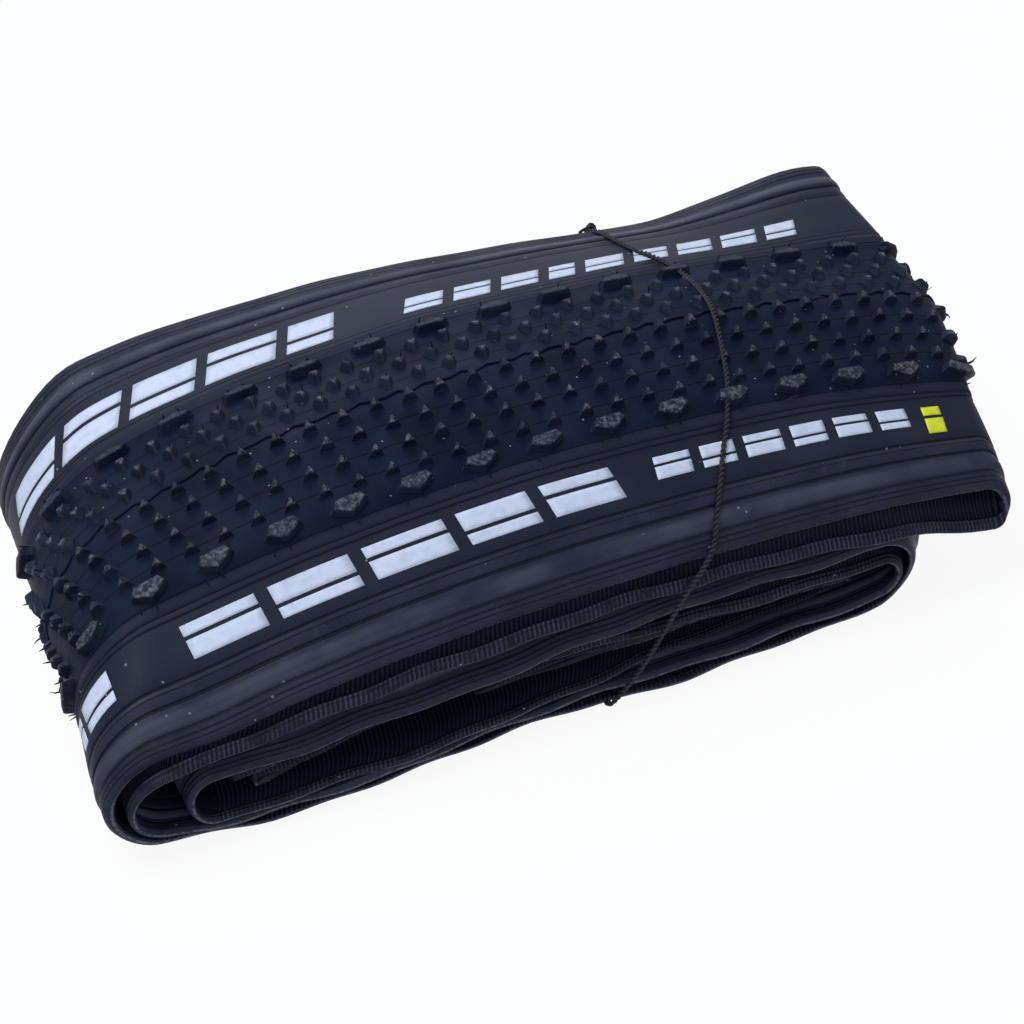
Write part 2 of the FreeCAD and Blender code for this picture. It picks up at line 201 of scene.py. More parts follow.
# Each turn: its end line, how far it stays inside it at the near bead, the tread, the far bead.
TURNS = [(TIP_END, 0, 0, 0), (LEFT_END, 3.2, 3.2, 3.2), (RIGHT_END, 2.6, 3.0, 3.0),
         (LEFT_END, 22, 20, 16), (RIGHT_END, 8.5, 16, 16), (LEFT_END, 26, 20, 16),
         (RIGHT_END, 10, 16, 16), (LEFT_END, 13, 9.5, 9.5), (RIGHT_END, 0, 0, 0),
         (LEFT_END, 0, 0, 0)]


def turn_centre(number, v):
    """Where the half circle after that run begins, and its radius, at the casing."""
    run, following = ORDER[number], ORDER[(number + 1) % RUNS]
    line, near, tread, far = TURNS[number]
    inset = np.interp(v, [-40, -24, 24, 40], [near, tread, tread, far])
    end = smooth_table(v, END_V, line, 1.6)
    sign = 1 if number % 2 == 0 else -1
    guess = end - sign * (inset + 6)
    gap = np.abs(level(run, guess, v) - level(following, guess, v)) / 2
    outside = number in (0, 8, 9) or (run, following) in ((5, 6), (7, 8))
    reach = gap + (skin(v) if outside else CASING)
    return end - sign * (inset + reach), gap


def build_master(v):
    """Points of the casing's outer face, one row per step along the band, and each row's
    mark: its run's place in the order, plus a half on the turn after it. A turn is a half
    circle in X; height and Y pass to the next run's by half of one plus the cosine."""
    v = np.asarray(v, float)
    turns = [turn_centre(number, v) for number in range(RUNS)]
    rows, marks = [], []
    for number, run in enumerate(ORDER):
        sign = 1 if number % 2 == 0 else -1
        start, end = turns[number - 1][0], turns[number][0]
        following = ORDER[(number + 1) % RUNS]
        for step in range(RUN_STEPS):
            share = step / RUN_STEPS
            x = start + (end - start) * share
            rows.append(np.stack([x, across(run, x, v), level(run, x, v)], -1))
            marks.append(number)
        radius = turns[number][1]
        for step in range(TURN_STEPS):
            angle = math.pi * step / TURN_STEPS
            x = end + sign * radius * math.sin(angle)
            a = (1 + math.cos(angle)) / 2
            z = a * level(run, x, v) + (1 - a) * level(following, x, v)
            y = a * across(run, x, v) + (1 - a) * across(following, x, v)
            rows.append(np.stack([x, y, z], -1))
            marks.append(number + 0.5)
    return np.array(rows), np.array(marks)


GRID_STEP = 0.5
GRID_V = np.arange(-EDGE, EDGE + 0.01, GRID_STEP)
master, run_mark = build_master(GRID_V)
print("master surface", master.shape)

# %% [markdown]
# ## Reading the surface
#
# Every piece asks the same question: where is the point this far along the band, this far
# across it and this far out? The answer is read from the grid by straight interpolation,
# so a knob, a label and the rubber under them always agree.

# %% Normals, distance along the band, and the lookup
along_step = np.roll(master, -1, 0) - np.roll(master, 1, 0)
across_step = np.gradient(master, axis=1)
normals = np.cross(along_step, across_step)
normals /= np.linalg.norm(normals, axis=2, keepdims=True)
middle_line = master[:, len(GRID_V) // 2]
steps = np.linalg.norm(np.roll(middle_line, -1, 0) - middle_line, axis=1)
FOLD = steps.sum()                                     # length of the band at its middle
distance = np.concatenate([[0], np.cumsum(steps)])
first_run = run_mark == 0
start_at = np.interp(0, middle_line[first_run][:, 0], distance[:-1][first_run])
ROWS = len(master)
print("length of the band at the middle", round(FOLD, 1), "mm")


def rows_at(s):
    """Row number, with a fraction, for distances along the band from the bundle's middle."""
    return np.interp((np.asarray(s) + start_at) % FOLD, distance, np.arange(ROWS + 1))


def lookup(rows, v):
    """Casing point and outward normal at row numbers and places across the tyre."""
    rows, v = np.broadcast_arrays(rows, v)
    i, fi = np.floor(rows).astype(int), (rows % 1)[..., None]
    place = np.clip((v - GRID_V[0]) / GRID_STEP, 0, len(GRID_V) - 1.001)
    j, fj = np.floor(place).astype(int), (place % 1)[..., None]
    i0, i1 = i % ROWS, (i + 1) % ROWS

    def blend(grid):
        low = grid[i0, j] * (1 - fi) + grid[i1, j] * fi
        high = grid[i0, j + 1] * (1 - fi) + grid[i1, j + 1] * fi
        return low * (1 - fj) + high * fj

    point, normal = blend(master), blend(normals)
    return point, normal / np.linalg.norm(normal, axis=-1, keepdims=True)


def on_tyre(s, v, d):
    """Point = casing point at (s, v) + d times the outward normal."""
    point, normal = lookup(rows_at(s), v)
    return point + normal * np.asarray(d)[..., None]


# %% [markdown]
# ## From arrays to objects
#
# A helper puts the arrays into a mesh in one go, moves millimetres to metres, gives it its material,
# tells the frame which body it rides on and hides the CAD pieces it stands for.

# %% Mesh helper
MM = 0.001                     # one millimetre in metres


def make_piece(name, points, faces, material, slot, nodes=(), smooth=True, **values):
    """A mesh piece from points in millimetres, faces, and values for its points."""
    mesh = bpy.data.meshes.new(name)
    place = (np.asarray(points, float).reshape(-1, 3) + (0, Y_SHIFT, 0)) * MM
    mesh.from_pydata(place, [], faces.tolist() if isinstance(faces, np.ndarray) else faces)
    for key, value in values.items():
        layer = mesh.attributes.new(key, "FLOAT", "POINT")
        layer.data.foreach_set("value", np.asarray(value, np.float32).ravel())
    mesh.polygons.foreach_set("use_smooth", np.full(len(mesh.polygons), smooth))
    mesh.materials.append(material)
    mesh.update()
    piece = bpy.data.objects.new(name, mesh)
    bpy.context.scene.collection.objects.link(piece)
    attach(piece, "root")
    if nodes:
        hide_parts(*nodes)
    print(name, len(mesh.vertices), "points", len(mesh.polygons), "faces")
    return piece


# The row where distance along the band starts again from zero: the middle of run 5, whose
# inside faces down, so the jump in its ribs is hidden.
SEAM = int(np.median(np.where(run_mark == ORDER.index(5))[0]))
# Zero on the top run and its two ends, one on the runs below, softened over nine rows:
# the near edges of the lower runs are pressed thinner than the top one's.
lower_rows = ((run_mark > 0.7) & (run_mark < 9.3)).astype(float)
lower_rows = sum(np.roll(lower_rows, k) for k in range(-4, 5)) / 9
LIP_THINNER = 0.3
print("seam at row", SEAM, "of", ROWS)


def carry(name, outline, material, slot, nodes=(), wave=None):
    """A closed outline of (across, out) carried once round the band: each point is the casing
    point at its place across, plus its height times the normal. The sign of the outline's
    area tells which way round its faces look outwards."""
    outline = np.asarray(outline, float)
    v = np.broadcast_to(outline[:, 0], (ROWS, len(outline))).copy()
    s = (distance[:-1] - start_at)[:, None]
    if wave is not None:
        v = v + wave(s)
    point, normal = lookup(np.arange(ROWS)[:, None] + 0.0 * v, v)
    lip = LIP_THINNER * ease(-v, 33, 42) * lower_rows[:, None]
    points = point + normal * (outline[None, :, 1] * (1 - lip))[..., None]
    count = len(outline)
    grid = np.arange(ROWS * count).reshape(ROWS, count)
    beside = np.roll(grid, -1, 1)
    ring = [grid, beside, np.roll(beside, -1, 0), np.roll(grid, -1, 0)]
    area = 0.5 * np.sum(outline[:, 0] * np.roll(outline[:, 1], -1)
                        - np.roll(outline[:, 0], -1) * outline[:, 1])
    if area < 0:
        ring = ring[::-1]
    faces = np.stack(ring, -1).reshape(-1, 4)
    along = (s - (distance[SEAM] - start_at)) % FOLD + 0 * v
    return make_piece(name, points, faces, material, slot, nodes,
                      along=along, across=v, out=np.broadcast_to(outline[:, 1], v.shape))


# %% [markdown]
# ## Finishes
#
# All the rubber here is one near-black family. What tells the zones apart is how they shine: the tread
# is matt and dusty, the sidewall has a fine grain, the chafer is smooth and satin, and the inside of
# the casing shows the ribs of its cords. Dust, mould lines and fine grain are on several of them, so
# each is a node group that is made once. Some of the colour is painted light: the mould grooves are
# painted dark as painted shade, a pale band on the chafer and a pale line on its turned edge are
# painted highlights, the cord ribs are painted lighter on their crests and darker in their valleys, and
# the grey knob tops are partly a painted highlight.

# %% Node helpers
class Wiring:
    """Short ways to add nodes to a tree and wire them up."""

    def __init__(self, tree):
        self.tree = tree

    def node(self, kind, inputs=(), **settings):
        made = self.tree.nodes.new(kind)
        for key, value in settings.items():
            setattr(made, key, value)
        for key, value in dict(inputs).items():
            if isinstance(value, bpy.types.NodeSocket):
                self.tree.links.new(value, made.inputs[key])
            else:
                made.inputs[key].default_value = value
        return made

    def math(self, operation, a, b=0.0, c=0.0):
        return self.node("ShaderNodeMath", {0: a, 1: b, 2: c}, operation=operation).outputs[0]

    def noise(self, scale, detail=3.0, rough=0.55):
        coords = self.node("ShaderNodeTexCoord").outputs["Object"]
        return self.node("ShaderNodeTexNoise", {"Vector": coords, "Scale": scale, "Detail": detail,
                                               "Roughness": rough}).outputs["Fac"]

    def remap(self, value, low, high, to_low=0.0, to_high=1.0):
        return self.node("ShaderNodeMapRange", {"Value": value, "From Min": low, "From Max": high,
                                                "To Min": to_low, "To Max": to_high},
                         interpolation_type="SMOOTHSTEP").outputs[0]

    def mix(self, share, first, second):
        first, second = [item if isinstance(item, bpy.types.NodeSocket) else (*item, 1.0)
                         for item in (first, second)]
        return self.node("ShaderNodeMix", {0: share, 6: first, 7: second},
                         data_type="RGBA").outputs[2]

    def bump(self, height, strength, depth, below=None):
        made = self.node("ShaderNodeBump", {"Height": height, "Strength": strength, "Distance": depth})
        if below is not None:
            self.tree.links.new(below, made.inputs["Normal"])
        return made.outputs[0]


class Finish(Wiring):
    """A material and its nodes."""

    def __init__(self, name, roughness=0.6, specular=0.3):
        self.material = bpy.data.materials.new(name)
        self.material.use_nodes = True
        super().__init__(self.material.node_tree)
        self.shader = self.tree.nodes["Principled BSDF"]
        self.shader.inputs["Roughness"].default_value = roughness
        self.shader.inputs["Specular IOR Level"].default_value = specular

    def value(self, name):
        return self.node("ShaderNodeAttribute", attribute_name=name).outputs["Fac"]

    def grain(self, scale, detail, strength, depth, rough=0.55):
        return self.node("ShaderNodeGroup", {0: scale, 1: detail, 2: rough, 3: strength, 4: depth},
                         node_tree=GRAIN).outputs[0]

    def wire(self, **sockets):
        for name, socket in sockets.items():
            self.tree.links.new(socket, self.shader.inputs[name.replace("_", " ")])
        return self.material


def new_group(name, given, result, kind="NodeSocketFloat"):
    """A node group with number inputs of those names and one output: its wiring and inputs."""
    group = bpy.data.node_groups.new(name, "ShaderNodeTree")
    for title in given:
        group.interface.new_socket(title, in_out="INPUT", socket_type="NodeSocketFloat")
    group.interface.new_socket(result, in_out="OUTPUT", socket_type=kind)
    wiring = Wiring(group)
    return wiring, wiring.node("NodeGroupInput").outputs


def dust_group():
    """Dust is a few cells out of many, picked by each cell's random colour, and only the
    small middle of each."""
    g, given = new_group("dust_specks", ["Scale"], "Mask")
    coords = g.node("ShaderNodeTexCoord").outputs["Object"]
    cells = g.node("ShaderNodeTexVoronoi", {"Vector": coords, "Scale": given["Scale"]}).outputs
    pick = g.node("ShaderNodeSeparateColor", {0: cells["Color"]}).outputs[0]
    chosen = g.math("GREATER_THAN", pick, 0.965)
    small = g.math("LESS_THAN", cells["Distance"], 0.16)
    g.node("NodeGroupOutput", {"Mask": g.math("MULTIPLY", chosen, small)})
    return g.tree


def line_mask_group():
    """1 on a thin line at one place across the tyre: the distance from it goes smoothly from
    1 at two fifths of the half width to 0 at all of it."""
    g, given = new_group("line_mask", ["Across", "Place", "Half Width"], "Mask")
    gap = g.math("ABSOLUTE", g.math("SUBTRACT", given["Across"], given["Place"]))
    core = g.math("MULTIPLY", given["Half Width"], 0.4)
    g.node("NodeGroupOutput", {"Mask": g.remap(gap, core, given["Half Width"], 1.0, 0.0)})
    return g.tree


def grain_group():
    """Fine grain: the surface tilted by the slope of a small noise."""
    g, given = new_group("rubber_grain", ["Scale", "Detail", "Roughness", "Strength", "Depth"],
                         "Normal", "NodeSocketVector")
    height = g.noise(given["Scale"], given["Detail"], given["Roughness"])
    g.node("NodeGroupOutput", {"Normal": g.bump(height, given["Strength"], given["Depth"])})
    return g.tree


DUST, LINE_MASK, GRAIN = dust_group(), line_mask_group(), grain_group()
print("node groups", [group.name for group in bpy.data.node_groups])


# %% The rubbers
def near_line(finish, across, place, half):
    """1 on a thin line at that distance from the middle of the tyre, 0 away from it."""
    return finish.node("ShaderNodeGroup", {0: across, 1: place, 2: half},
                       node_tree=LINE_MASK).outputs[0]


def thin_lines(finish, across, lines):
    """1 on any of the lines, each given as (distance from the middle, half its width)."""
    found = 0.0
    for place, half in lines:
        found = finish.math("MAXIMUM", found, near_line(finish, across, place, half))
    return found


def dusty(finish, colour, scale, shade=(0.35, 0.35, 0.38)):
    """The colour with a few pale specks."""
    specks = finish.node("ShaderNodeGroup", node_tree=DUST)
    specks.inputs[0].default_value = scale
    return finish.mix(finish.math("MULTIPLY", specks.outputs[0], 0.5), colour, shade)


def tread_finish():
    """Matt rubber, blotched by rubbing, with fine mould lines along the knob rows whose grooves are
    painted dark as painted shade.
    """
    f = Finish("tread_rubber_matt", 0.55, 0.07)
    across = f.value("across")
    blotch = f.remap(f.noise(95, 4, 0.6), 0.35, 0.7)
    colour = f.mix(blotch, (0.0010, 0.0032, 0.0130), (0.0045, 0.0090, 0.0270))
    places = (-13.9, -9.3, -4.7, 4.7, 9.3, 13.9, -20.2, 20.2)
    lines = thin_lines(f, across, [(place, 0.22) for place in places])
    edge = f.remap(f.math("ABSOLUTE", across), 19.6, 21.0)
    colour = f.mix(edge, colour, (0.0150, 0.0165, 0.0330))
    # Painted shade: the grooves of the mould lines are painted near black.
    colour = f.mix(f.math("MULTIPLY", lines, 0.75), colour, (0.0008, 0.0012, 0.0050))
    colour = dusty(f, colour, 900)
    rough = f.remap(f.noise(60, 3), 0.3, 0.7, 0.5, 0.68)
    grain = f.grain(2600, 2, 0.16, 0.0003)
    ridge = f.bump(f.math("MULTIPLY", lines, -1.0), 0.6, 0.0004, grain)
    return f.wire(Base_Color=colour, Roughness=rough, Normal=ridge)


def knob_finish():
    """The tread's rubber, grey on the tops: partly scuffing from rubbing against the next run, partly a
    painted highlight.
    """
    f = Finish("knob_rubber_scuff_and_highlight", 0.6, 0.10)
    height = f.value("rise")
    worn = f.value("worn")
    scratch = f.remap(f.noise(1300, 4, 0.7), 0.42, 0.66)
    # The grey of the knob tops is partly scuffing and partly a painted highlight, strongest on the
    # highest part of each knob.
    top = f.math("MULTIPLY", f.remap(height, 0.82, 1.0), f.math("MULTIPLY", scratch, worn))
    base = f.remap(f.noise(180, 3), 0.3, 0.7)
    base = f.mix(base, (0.0035, 0.0065, 0.0180), (0.0160, 0.0195, 0.0380))
    colour = f.mix(f.math("MULTIPLY", top, 0.85), base, (0.15, 0.155, 0.18))
    colour = dusty(f, colour, 1100, (0.4, 0.4, 0.42))
    rough = f.remap(scratch, 0, 1, 0.5, 0.75)
    grain = f.grain(1900, 3, 0.35, 0.0003, 0.7)
    return f.wire(Base_Color=colour, Roughness=rough, Normal=grain)


def wall_finish():
    """Sidewall skin: smooth rubber with a fine even grain and faint mould lines whose grooves are
    painted dark as painted shade.
    """
    f = Finish("sidewall_rubber_grain", 0.5, 0.10)
    across = f.math("ABSOLUTE", f.value("across"))
    cloud = f.remap(f.noise(42, 4), 0.3, 0.75)
    colour = f.mix(cloud, (0.0070, 0.0095, 0.0215), (0.0150, 0.0175, 0.0350))
    line = thin_lines(f, across, ((23.7, 0.25), (35.5, 0.3)))
    # Painted shade: the grooves of the two mould lines are painted near black.
    colour = f.mix(f.math("MULTIPLY", line, 0.8), colour, (0.002, 0.002, 0.004))
    colour = dusty(f, colour, 700)
    rough = f.remap(f.noise(25, 3), 0.3, 0.7, 0.44, 0.58)
    grain = f.grain(3200, 2, 0.22, 0.0002, 0.5)
    fold = f.bump(f.math("MULTIPLY", line, -1.0), 0.7, 0.0004, grain)
    return f.wire(Base_Color=colour, Roughness=rough, Normal=fold)


def inner_wrap(f, colour):
    """Inside the bead the strip shows the cords below it as pale strokes, a painted highlight on their
    crests; its turned edge carries a pale line, a painted highlight broken up by noise."""
    # Painted highlight: the crests of the cords inside the wrap are pale strokes of colour, with no
    # relief under them.
    stroke = f.math("SINE", f.math("MULTIPLY", f.value("along"), 2 * math.pi / 0.86))
    uneven = f.remap(f.noise(260, 3), 0.3, 0.6)
    stroke = f.math("MULTIPLY", f.remap(stroke, -0.1, 0.9), uneven)
    corded = f.mix(stroke, (0.0010, 0.0018, 0.0080), (0.0300, 0.0340, 0.0600))
    colour = f.mix(f.remap(f.value("out"), -0.55, -0.72), colour, corded)
    # Painted highlight: a pale line along the strip's turned edge, broken up by noise.
    highlight_fray = f.remap(f.noise(1200, 4, 0.7), 0.36, 0.6)
    turned = f.math("MULTIPLY", near_line(f, f.value("out"), -0.28, 0.42), highlight_fray)
    return f.mix(f.math("MULTIPLY", turned, 0.85), colour, (0.120, 0.125, 0.160))


def chafer_finish():
    """Satin strip round the bead: a pale band that is a painted highlight, mould grooves painted dark
    as painted shade, and a soft unevenness.
    """
    f = Finish("chafer_rubber_satin", 0.46, 0.13)
    cloud = f.remap(f.noise(55, 5, 0.6), 0.3, 0.72)
    colour = f.mix(cloud, (0.0075, 0.0095, 0.0230), (0.0190, 0.0220, 0.0420))
    across = f.math("ABSOLUTE", f.value("across"))
    # Painted highlight: a pale band round the strip, about 40 mm from the middle of the tyre, broken up
    # by noise.
    highlight_band = f.math("MULTIPLY", near_line(f, across, 40.3, 1.5), f.remap(f.noise(70, 3), 0.25, 0.65))
    colour = f.mix(f.math("MULTIPLY", highlight_band, 0.85), colour, (0.0560, 0.0600, 0.0880))
    grooves = thin_lines(f, across, ((36.5, 0.16), (38.35, 0.3), (42.1, 0.32), (43.1, 0.20),
                                     (43.9, 0.18)))
    # Painted shade: the mould grooves of the strip are painted near black.
    colour = f.mix(f.math("MULTIPLY", grooves, 0.85), colour, (0.0010, 0.0015, 0.0060))
    streak = f.remap(f.noise(420, 3, 0.6), 0.55, 0.8)
    colour = f.mix(f.math("MULTIPLY", streak, 0.25), colour, (0.050, 0.053, 0.075))
    colour = inner_wrap(f, colour)
    colour = dusty(f, colour, 800)
    grain = f.grain(2400, 3, 0.2, 0.0002)
    dents = f.bump(f.noise(150, 2), 0.25, 0.0008, grain)
    fold = f.bump(f.math("MULTIPLY", grooves, -1.0), 0.6, 0.0004, dents)
    rough = f.remap(f.noise(90, 3), 0.3, 0.7, 0.4, 0.56)
    return f.wire(Base_Color=colour, Roughness=rough, Normal=fold)


def rib_finish(name, pitch):
    """Rubbered cord fabric: ribs across the band, each a rounded cord, painted lighter on its crest as
    a painted highlight and darker in its valley as painted shade.
    """
    f = Finish(name, 0.5, 0.05)
    phase = f.math("MULTIPLY", f.value("along"), 2 * math.pi / pitch)
    lean = f.math("MULTIPLY", f.value("across"), 0.5)
    wave = f.math("SINE", f.math("ADD", phase, lean))
    rib = f.math("MULTIPLY_ADD", wave, 0.5, 0.5)
    # Painted highlight on each cord's crest and painted shade in its valley, following the same wave as
    # the bump.
    colour = f.mix(f.remap(rib, 0.1, 0.9), (0.0002, 0.0004, 0.0030), (0.0100, 0.0125, 0.0280))
    patch = f.remap(f.noise(70, 3), 0.35, 0.75)
    colour = f.mix(f.math("MULTIPLY", patch, 0.35), colour, (0.0012, 0.0018, 0.0060))
    ribs = f.bump(rib, 0.9, 0.00035)
    fine = f.bump(f.noise(2500, 2), 0.15, 0.0002, ribs)
    return f.wire(Base_Color=colour, Normal=fine)


def weave_finish(name, dark, light, pitch):
    """A plain weave seen from its own along and across directions."""
    f = Finish(name, 0.7, 0.25)
    turn = 2 * math.pi / pitch
    one = f.math("SINE", f.math("MULTIPLY", f.value("along"), turn))
    two = f.math("SINE", f.math("MULTIPLY", f.value("across"), turn))
    checker = f.math("MULTIPLY_ADD", f.math("MULTIPLY", one, two), 0.5, 0.5)
    colour = f.mix(checker, dark, light)
    return f.wire(Base_Color=colour, Normal=f.bump(checker, 0.5, 0.0002))


def print_finish(name, low, high):
    """Printed mark: a thin satin film that lets a little of the rubber's grain through."""
    f = Finish(name, 0.5, 0.35)
    wear = f.remap(f.noise(600, 4, 0.65), 0.25, 0.6)
    colour = f.mix(wear, low, high)
    return f.wire(Base_Color=colour, Normal=f.grain(2600, 2, 0.12, 0.0002))


def cord_finish():
    """Waxed thread with a fine uneven tone from noise."""
    f = Finish("tie_cord_thread", 0.6, 0.3)
    fuzz = f.remap(f.noise(2200, 3), 0.3, 0.7)
    colour = f.mix(fuzz, (0.0015, 0.002, 0.006), (0.009, 0.011, 0.020))
    return f.wire(Base_Color=colour, Normal=f.grain(3000, 2, 0.4, 0.0002))


TREAD, KNOB, WALL, CHAFER = tread_finish(), knob_finish(), wall_finish(), chafer_finish()
RIBS = rib_finish("casing_ribs", 0.86)
BURIED = rib_finish("casing_cords", 0.9)
BREAKER = weave_finish("breaker_weave", (0.10, 0.085, 0.055), (0.26, 0.22, 0.15), 0.9)
ARAMID = weave_finish("bead_aramid_bundle", (0.30, 0.22, 0.07), (0.6, 0.47, 0.18), 0.7)
PALE = print_finish("pale_print", (0.47, 0.51, 0.64), (0.56, 0.60, 0.74))
YELLOW = print_finish("yellow_print", (0.52, 0.55, 0.02), (0.68, 0.72, 0.03))
CORD = cord_finish()
print("materials", len(bpy.data.materials))

# %% [markdown]
# ## The tread and the sidewalls
#
# Each zone of rubber is one closed outline carried round the whole fold. The outline is a
# list of places across the tyre and heights over the casing.

# %% Tread base
tread_outside = [(0.0, 1.35), (5, 1.34), (10, 1.3), (14, 1.26), (17, 1.2), (19.2, 1.12), (20.3, 1.0),
                 (21.0, 0.92), (21.5, 0.98), (22.0, 0.92), (22.4, 0.70)]
tread_inside = [(22.4, 0.1), (14.2, 0.02), (7, 0.02), (0, 0.02), (-7, 0.02), (-14.2, 0.02),
                (-22.4, 0.1)]
tread_near_half = [(-v, d) for v, d in tread_outside[:0:-1]]
carry("tread_base", tread_near_half + tread_outside + tread_inside, TREAD, "tread_rubber",
      ["tread_cap"])


# %% Sidewalls
def both_sides(name, outline, material, slot, node):
    """The outline carried once on the near half of the tyre and once on the far half."""
    for side, sign in (("near", -1), ("far", 1)):
        carry(name + side, [(sign * v, d) for v, d in outline], material, slot, [node + side])


wall_outside = [(21.9, 0.45), (22.6, 0.70), (23.2, 0.82), (23.7, 0.66), (24.3, 0.72), (27, 0.70),
                (30, 0.68), (33, 0.66), (35.1, 0.64), (35.6, 0.52), (36.0, 0.42)]
wall_outline = wall_outside + [(36.0, 0.02), (29, 0.02), (21.9, 0.02)]
both_sides("sidewall_skin_", wall_outline, WALL, "sidewall_rubber", "sidewall_")

# %% Chafers
chafer_outline = [
    (35.4, 0.30), (35.9, 0.56), (36.4, 0.64), (37.6, 0.64), (38.1, 0.60), (38.35, 0.34), (38.6, 0.62),
    (39.2, 0.86), (40.0, 0.92), (40.7, 0.80), (41.1, 0.50), (41.4, 0.66), (42.2, 0.72), (43.0, 0.76),
    (43.6, 0.84), (44.2, 0.82), (44.8, 0.58), (45.25, 0.15), (45.4, -0.35), (45.3, -0.80),
    (45.0, -1.12), (44.75, -1.02), (44.5, -1.28), (44.25, -1.26), (44.0, -1.00), (43.75, -1.24),
    (43.45, -1.18), (43.2, -0.92), (43.2, 0.02), (35.4, 0.02)]
both_sides("chafer_strip_", chafer_outline, CHAFER, "chafer_rubber", "chafer_")

# %% [markdown]
# ## Casing, breaker and bead cores
#
# Under the rubber lie two plies of cord fabric, a puncture strip below the tread and a
# bundle of aramid in each bead. Only the inner ply is seen, at the open edges.

# %% Plies, breaker and cores
def flat_strip(half_width, places, top, bottom):
    """A flat outline with its points evenly spaced across the tyre."""
    v = np.linspace(-half_width, half_width, places)
    return [(place, top) for place in v] + [(place, bottom) for place in v[::-1]]


carry("ply_outer", flat_strip(40.3, 24, 0.0, -0.44), BURIED, "ply_fabric", ["carcass_ply_outer"])
carry("ply_inner", flat_strip(43.3, 26, -0.46, -0.96), RIBS, "ply_fabric", ["carcass_ply_inner"])
carry("puncture_strip", flat_strip(14, 9, 0.34, 0.04), BREAKER, "breaker_fabric",
      ["puncture_breaker"])
core_outline = [(40.4, -0.02), (43.1, -0.02), (43.1, -0.45), (40.4, -0.45)]
both_sides("bead_bundle_", core_outline, ARAMID, "bead_aramid", "bead_core_")

# %% [markdown]
# ## Knobs
#
# The tread has a row of long knobs on each shoulder and seven rows of small ones between.
# One knob is a few rings of points; it is copied to every place by adding the arrays, and
# the surface bends each copy with the fold.

# %% Knob helper
PI = math.pi
SHOULDER_KNOBS = 131                                 # on each side, round the tyre
PITCH = FOLD / SHOULDER_KNOBS
ROOT = 0.25                                          # how deep a knob's foot is in the tread


def ring_faces(rings, count):
    """Faces of one closed stack of rings: quads between them, one face on top, one below."""
    r, k = count * np.arange(rings - 1)[:, None], np.arange(count)
    nxt = (k + 1) % count
    quads = np.stack([r + k, r + nxt, r + count + nxt, r + count + k], -1).reshape(-1, 4)
    return quads, k[None] + (rings - 1) * count, k[None, ::-1]


def faces_of_copies(parts, size, turned):
    """The faces of every copy, in the other order where the copy is mirrored."""
    faces = []
    shift = size * np.arange(len(turned))[:, None, None]
    for part in parts:
        moved = np.where(turned[:, None, None], part[None, :, ::-1], part[None]) + shift
        faces += moved.reshape(-1, part.shape[1]).tolist()
    return faces


def knobs(name, s, v, flip, rings, worn, rise_by):
    """Copies of a knob. rings is a list of (height, outline of (along, outward)); outward
    points away from the middle of the tyre and flip says which way that is."""
    local = np.array([(a, o, h) for h, outline in rings for a, o in outline], float)
    height = local[:, 2][None] * rise_by[:, None]
    place_s = s[:, None] + local[:, 0][None]
    place_v = v[:, None] + local[:, 1][None] * flip[:, None]
    tread = np.interp(np.abs(place_v), [0, 10, 19, 22], [1.35, 1.3, 1.12, 0.8])
    points = on_tyre(place_s, place_v, tread - ROOT + height)
    faces = faces_of_copies(ring_faces(len(rings), len(rings[0][1])), len(local), flip < 0)
    rise = np.broadcast_to(local[:, 2][None] / local[:, 2].max(), height.shape)
    return make_piece(name, points, faces, KNOB, "tread_rubber", smooth=False,
                      rise=rise, worn=np.broadcast_to(worn[:, None], height.shape),
                      along=place_s, across=place_v, out=height)


def scaled(outline, amount, toward=(0.0, 0.0)):
    """The outline drawn in towards a point."""
    return [(toward[0] + (a - toward[0]) * amount, toward[1] + (o - toward[1]) * amount)
            for a, o in outline]


# %% Small knobs
rng = np.random.default_rng(7)
small_foot = [(-0.95, -0.25), (-0.25, -1.6), (0.25, -1.6), (0.95, -0.25), (1.45, 1.05), (-1.45, 1.05)]
small_rings = [(0.0, scaled(small_foot, 1.2)), (0.32, small_foot),
               (1.5, scaled(small_foot, 0.60, (0, 0.6))), (1.72, scaled(small_foot, 0.42, (0, 0.55)))]
SMALL_PITCH = PITCH / 2
SMALL_KNOBS = 2 * SHOULDER_KNOBS                     # in each row, round the tyre
ROW_PLACES = [-13.9, -9.3, -4.7, -0.35, 4.7, 9.3, 13.9]
ROW_SHIFT = 0.69                                     # from row to row, as a share of the pitch
NEAR_PHASE, SMALL_PHASE = -0.4, 2.8                  # where the near and the small knobs start
s_small, v_small = np.meshgrid(np.arange(SMALL_KNOBS) * SMALL_PITCH, ROW_PLACES)
shift = ROW_SHIFT * SMALL_PITCH * np.arange(len(ROW_PLACES))
s_small = (s_small + NEAR_PHASE + SMALL_PHASE + shift[:, None]).ravel()
v_small = v_small.ravel()
flip_small = np.where(v_small > 0, 1.0, -1.0)
s_small = s_small + rng.normal(0, 0.07, len(s_small))
v_small = v_small + rng.normal(0, 0.06, len(s_small))
# Share of scuffing and painted highlight on the top of each small knob.
worn_small = np.clip(rng.normal(0.6, 0.3, len(s_small)), 0.0, 1.0)
knobs("knobs_small", s_small, v_small, flip_small, small_rings, worn_small,
      rng.normal(1.0, 0.05, len(s_small)))

